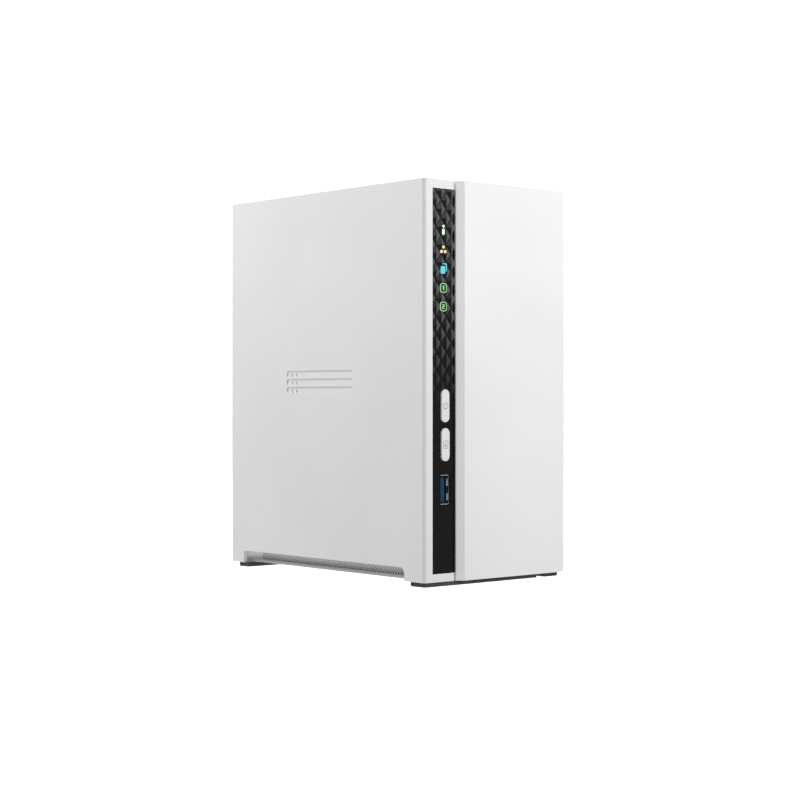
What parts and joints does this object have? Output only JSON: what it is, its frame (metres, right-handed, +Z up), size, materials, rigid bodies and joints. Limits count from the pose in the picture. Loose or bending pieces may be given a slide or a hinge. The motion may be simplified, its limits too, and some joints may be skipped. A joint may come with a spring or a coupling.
{
  "type": "network attached storage",
  "caption": "Upright desktop network storage box on rubber feet, with a lift-off cover, lit indicator column, drive trays, rear fan and sockets.",
  "frame": {"origin": "centre of the footprint, on the surface that the feet rest on", "axes": "+Z up, -Y out of the front with the indicator column, +X towards the covered side"},
  "size_m": [0.0902, 0.1562, 0.1886],
  "materials": {
    "shell_white": "fine textured moulded plastic",
    "cover_white": "fine textured moulded plastic",
    "rear_white": "fine textured moulded plastic",
    "base_white": "fine textured moulded plastic",
    "button_white": "smooth satin moulded plastic",
    "foot_rubber": "moulded rubber",
    "panel_black": "gloss black with a fading lozenge relief",
    "lens_green": "lit translucent light pipe",
    "lens_amber": "lit translucent light pipe",
    "lens_blue": "lit translucent light pipe",
    "socket_metal": "plated sheet steel",
    "tongue_blue": "moulded plastic",
    "jack_black": "moulded plastic",
    "chip_black": "moulded epoxy",
    "link_ivory": "moulded plastic",
    "board_green": "solder mask over glass epoxy",
    "contact_gold": "gold plated",
    "heatsink_metal": "extruded and anodised",
    "cell_metal": "nickel plated",
    "cage_steel": "zinc plated sheet",
    "tray_grey": "fine textured moulded plastic",
    "strip_grey": "fine textured moulded plastic",
    "handle_grey": "fine textured moulded plastic",
    "drive_casting": "die cast and machined",
    "drive_lid_steel": "satin stamped sheet",
    "fan_black": "moulded plastic",
    "rotor_black": "moulded plastic",
    "lead_black": "sleeved wires",
    "screw_steel": "nickel plated",
    "lock_steel": "satin plated sheet"
  },
  "bodies": {
    "case": {"main_shell": "shell_white", "right_shell": "shell_white", "rear_panel": "rear_white", "base_tray": "base_white", "front_foot": "foot_rubber", "rear_foot": "foot_rubber", "indicator_panel": "panel_black", "status_lens": "lens_green", "network_lens": "lens_amber", "usb_lens": "lens_blue", "disk_1_lens": "lens_green", "disk_2_lens": "lens_green", "front_usb_shell": "socket_metal", "front_usb_tongue": "tongue_blue", "main_board": "board_green", "indicator_leds": "link_ivory", "button_switches": "jack_black", "processor": "chip_black", "heatsink": "heatsink_metal", "memory_chips": "chip_black", "clock_cell": "cell_metal", "cell_holder": "jack_black", "buzzer": "jack_black", "lan_jack": "socket_metal", "rear_usb_shells": "socket_metal", "rear_usb_tongues": "jack_black", "dc_jack": "jack_black", "dc_pin": "contact_gold", "backplane": "board_green", "sata_sockets": "jack_black", "board_link": "link_ivory", "drive_cage": "cage_steel", "fan_frame": "fan_black", "fan_lead": "lead_black", "fan_plug": "link_ivory", "fan_screws": "screw_steel", "lock_plate": "lock_steel", "panel_screws": "screw_steel", "board_screws": "screw_steel", "cage_screws": "screw_steel", "backplane_screws": "screw_steel"},
    "cover": {"front_cover": "cover_white", "cover_catch": "cover_white"},
    "tray_1": {"tray_1": "tray_grey", "tray_1_strips": "strip_grey", "drive_1_case": "drive_casting", "drive_1_lid": "drive_lid_steel", "drive_1_board": "board_green"},
    "handle_1": {"tray_1_handle": "handle_grey"},
    "tray_2": {"tray_2": "tray_grey", "tray_2_strips": "strip_grey", "drive_2_case": "drive_casting", "drive_2_lid": "drive_lid_steel", "drive_2_board": "board_green"},
    "handle_2": {"tray_2_handle": "handle_grey"},
    "power_key": {"power_button": "button_white"},
    "copy_key": {"copy_button": "button_white"},
    "reset_key": {"reset_button": "jack_black"},
    "lock_slider": {"cover_lock": "rear_white"},
    "rotor": {"fan_rotor": "rotor_black"}
  },
  "joints": [
    {"name": "cover_lift", "type": "slide", "parent": "case", "child": "cover", "axis": [0, 0, 1], "range_m": [0, 0.17]},
    {"name": "tray_1_lift", "type": "slide", "parent": "case", "child": "tray_1", "axis": [0, 0, 1], "range_m": [0, 0.085]},
    {"name": "handle_1_fold", "type": "hinge", "parent": "tray_1", "child": "handle_1", "pos_m": [-0.02035, -0.0142, 0.177], "axis": [0, -1, 0], "range_deg": [0, 90]},
    {"name": "tray_2_lift", "type": "slide", "parent": "case", "child": "tray_2", "axis": [0, 0, 1], "range_m": [0, 0.085]},
    {"name": "handle_2_fold", "type": "hinge", "parent": "tray_2", "child": "handle_2", "pos_m": [0.01295, -0.0142, 0.177], "axis": [0, -1, 0], "range_deg": [0, 90]},
    {"name": "power_press", "type": "slide", "parent": "case", "child": "power_key", "axis": [0, 1, 0], "range_m": [0, 0.0008], "stiffness_N_per_m": 500},
    {"name": "copy_press", "type": "slide", "parent": "case", "child": "copy_key", "axis": [0, 1, 0], "range_m": [0, 0.0008], "stiffness_N_per_m": 500},
    {"name": "reset_press", "type": "slide", "parent": "case", "child": "reset_key", "axis": [0, -1, 0], "range_m": [0, 0.0005], "stiffness_N_per_m": 500},
    {"name": "lock_slide", "type": "slide", "parent": "case", "child": "lock_slider", "axis": [1, 0, 0], "range_m": [0, 0.005]},
    {"name": "fan_spin", "type": "hinge", "parent": "case", "child": "rotor", "pos_m": [0.0024, 0.061, 0.132], "axis": [0, 1, 0], "continuous": true}
  ],
  "couplings": [
    {"joint": "tray_1_lift", "follows": "cover_lift", "ratio": 0.5},
    {"joint": "tray_2_lift", "follows": "cover_lift", "ratio": 0.5},
    {"joint": "handle_1_fold", "follows": "cover_lift", "rad_per_m": 9.239},
    {"joint": "handle_2_fold", "follows": "cover_lift", "rad_per_m": 9.239}
  ]
}
